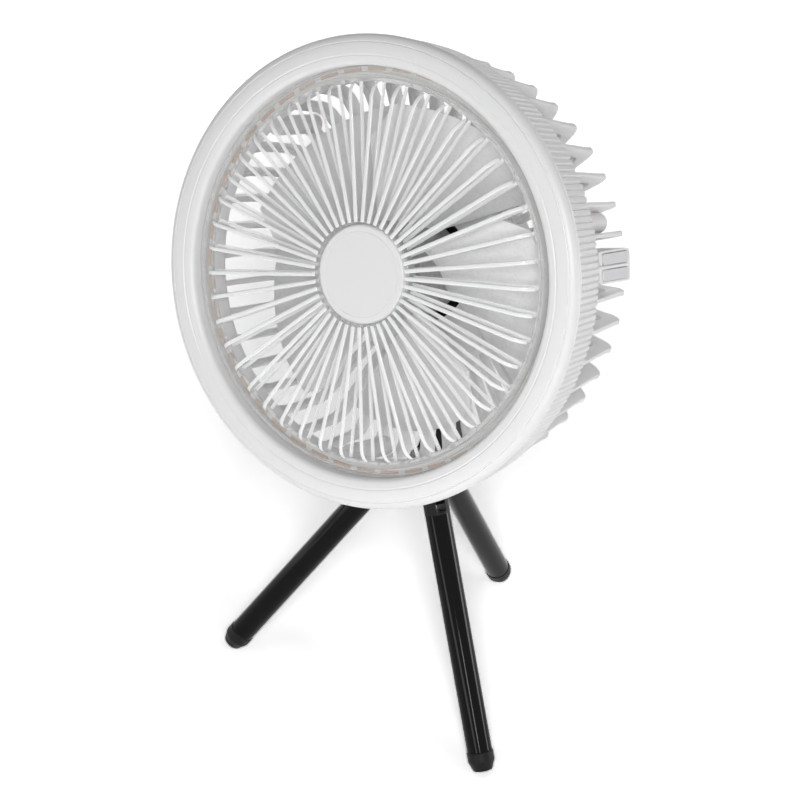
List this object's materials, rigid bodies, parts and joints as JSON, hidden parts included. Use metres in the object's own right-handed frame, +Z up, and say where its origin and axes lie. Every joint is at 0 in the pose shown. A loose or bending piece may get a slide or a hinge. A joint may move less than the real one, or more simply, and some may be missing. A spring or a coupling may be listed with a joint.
{
  "type": "camping fan",
  "caption": "Portable camping fan: round tilting head with a spoked clear grille, ring light and finned rear cage on a folding three-legged stand.",
  "frame": {"origin": "centre of the bounding box on the ground plane, with the legs open and the head tilted up; the stand's own axis is 2 mm behind it", "axes": "+Z up; the fan blows towards -Y and tilts up about X; +X is on the right of someone who faces the fan's front"},
  "size_m": [0.1906, 0.1716, 0.3258],
  "materials": {
    "white_plastic": "satin white moulding",
    "clear_plastic": "clear moulding",
    "smoky_plastic": "translucent moulding",
    "black_plastic": "satin black",
    "button_plastic": "satin grey",
    "black_tube": "gloss black coating",
    "rubber": "matte",
    "steel": "bright",
    "black_steel": "blackened",
    "magnet": "plain",
    "copper": "enamelled wire",
    "led": "yellow phosphor",
    "board": "solder mask",
    "board_white": "white solder mask",
    "cell": "sleeved cell"
  },
  "bodies": {
    "tripod": {"neck": "black_plastic", "neck_screw": "black_steel", "tripod_hub": "black_plastic", "hinge_pins": "steel"},
    "head": {"front_bezel": "white_plastic", "front_grille": "clear_plastic", "grille_cap": "white_plastic", "led_board": "board_white", "led_chips": "led", "grip_ring": "white_plastic", "rear_cage": "white_plastic", "cage_screws": "steel", "control_pod": "white_plastic", "switch_board": "board", "rear_housing": "white_plastic", "motor_base": "black_plastic", "stator_core": "steel", "stator_windings": "copper", "shaft_bearings": "steel", "battery_cells": "cell", "control_board": "board", "usb_socket": "steel", "rear_cover": "white_plastic", "cover_screws": "steel", "tilt_bolt": "black_steel", "tilt_nut": "black_steel"},
    "impeller": {"impeller": "smoky_plastic", "impeller_nut": "steel", "motor_rotor": "steel", "rotor_magnet": "magnet", "motor_shaft": "steel"},
    "fan_button": {"fan_button": "button_plastic"},
    "light_button": {"light_button": "button_plastic"},
    "left_leg": {"left_leg_knuckle": "black_plastic", "left_leg_tube": "black_tube", "left_leg_foot": "rubber"},
    "right_leg": {"right_leg_knuckle": "black_plastic", "right_leg_tube": "black_tube", "right_leg_foot": "rubber"},
    "rear_leg": {"rear_leg_knuckle": "black_plastic", "rear_leg_tube": "black_tube", "rear_leg_foot": "rubber"}
  },
  "joints": [
    {"name": "head_tilt", "type": "hinge", "parent": "tripod", "child": "head", "pos_m": [0, 0.02128, 0.20925], "axis": [-1, 0, 0], "range_deg": [-21.39, 68.61]},
    {"name": "fan_spin", "type": "hinge", "parent": "head", "child": "impeller", "pos_m": [0, 0.02128, 0.20925], "axis": [0, -0.9311, 0.3647], "continuous": true},
    {"name": "left_leg_fold", "type": "hinge", "parent": "tripod", "child": "left_leg", "pos_m": [-0.01247, -0.00524, 0.10712], "axis": [0.5, -0.866, 0], "range_deg": [0, 31.97]},
    {"name": "right_leg_fold", "type": "hinge", "parent": "tripod", "child": "right_leg", "pos_m": [0.01247, -0.00524, 0.10712], "axis": [0.5, 0.866, 0], "range_deg": [0, 31.97]},
    {"name": "rear_leg_fold", "type": "hinge", "parent": "tripod", "child": "rear_leg", "pos_m": [0, 0.01636, 0.10712], "axis": [-1, 0, 0], "range_deg": [0, 31.97]},
    {"name": "fan_button_press", "type": "slide", "parent": "head", "child": "fan_button", "axis": [-0.9379, -0.1265, -0.323], "range_m": [0, 0.0007], "stiffness_N_per_m": 400},
    {"name": "light_button_press", "type": "slide", "parent": "head", "child": "light_button", "axis": [-0.9379, -0.1265, -0.323], "range_m": [0, 0.0007], "stiffness_N_per_m": 400}
  ]
}
